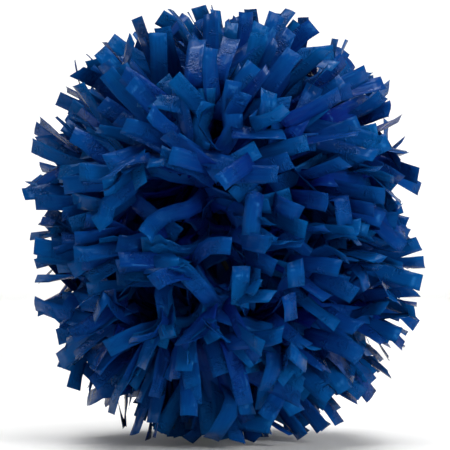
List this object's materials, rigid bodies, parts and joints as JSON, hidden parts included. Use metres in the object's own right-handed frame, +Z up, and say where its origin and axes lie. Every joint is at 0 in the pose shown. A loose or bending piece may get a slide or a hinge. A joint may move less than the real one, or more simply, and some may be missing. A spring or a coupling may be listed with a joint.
{
  "type": "cheer pom pom",
  "caption": "Round cheerleading pom pom with a baton handle: two tufts of slit plastic film strands bound to the ends of a central grip, shaken in the hand.",
  "frame": {"origin": "on the floor, under the middle of the upright handle, at the foot of the lower tuft", "axes": "+Z up, along the handle from the lower tuft to the upper tuft; +X to the viewer's right; +Y away from the viewer"},
  "size_m": [0.2994, 0.2994, 0.326],
  "materials": {
    "fringe_film": "satin slit polyethylene film, lightly crumpled",
    "handle_plastic": "moulded polypropylene, fine matte grain",
    "hub_plastic": "moulded ABS, semi-gloss",
    "tie_nylon": "moulded nylon 6/6",
    "screw_steel": "bright zinc plated"
  },
  "bodies": {
    "baton": {"grip_tube": "handle_plastic", "upper_hub": "hub_plastic", "upper_end_cap": "hub_plastic", "upper_cap_screw": "screw_steel", "lower_hub": "hub_plastic", "lower_end_cap": "hub_plastic", "lower_cap_screw": "screw_steel"},
    "upper_tuft": {"upper_cable_tie": "tie_nylon", "upper_fringe_01": "fringe_film", "upper_fringe_02": "fringe_film", "upper_fringe_03": "fringe_film", "upper_fringe_04": "fringe_film", "upper_fringe_05": "fringe_film", "upper_fringe_06": "fringe_film", "upper_fringe_07": "fringe_film", "upper_fringe_08": "fringe_film", "upper_fringe_09": "fringe_film", "upper_fringe_10": "fringe_film", "upper_fringe_11": "fringe_film", "upper_fringe_12": "fringe_film"},
    "lower_tuft": {"lower_cable_tie": "tie_nylon", "lower_fringe_01": "fringe_film", "lower_fringe_02": "fringe_film", "lower_fringe_03": "fringe_film", "lower_fringe_04": "fringe_film", "lower_fringe_05": "fringe_film", "lower_fringe_06": "fringe_film", "lower_fringe_07": "fringe_film", "lower_fringe_08": "fringe_film", "lower_fringe_09": "fringe_film", "lower_fringe_10": "fringe_film", "lower_fringe_11": "fringe_film", "lower_fringe_12": "fringe_film"}
  },
  "joints": [
    {"name": "upper_tuft_turn", "type": "hinge", "parent": "baton", "child": "upper_tuft", "pos_m": [0, 0, 0.22], "axis": [0, 0, 1], "continuous": true},
    {"name": "lower_tuft_turn", "type": "hinge", "parent": "baton", "child": "lower_tuft", "pos_m": [0, 0, 0.1], "axis": [0, 0, 1], "continuous": true}
  ]
}
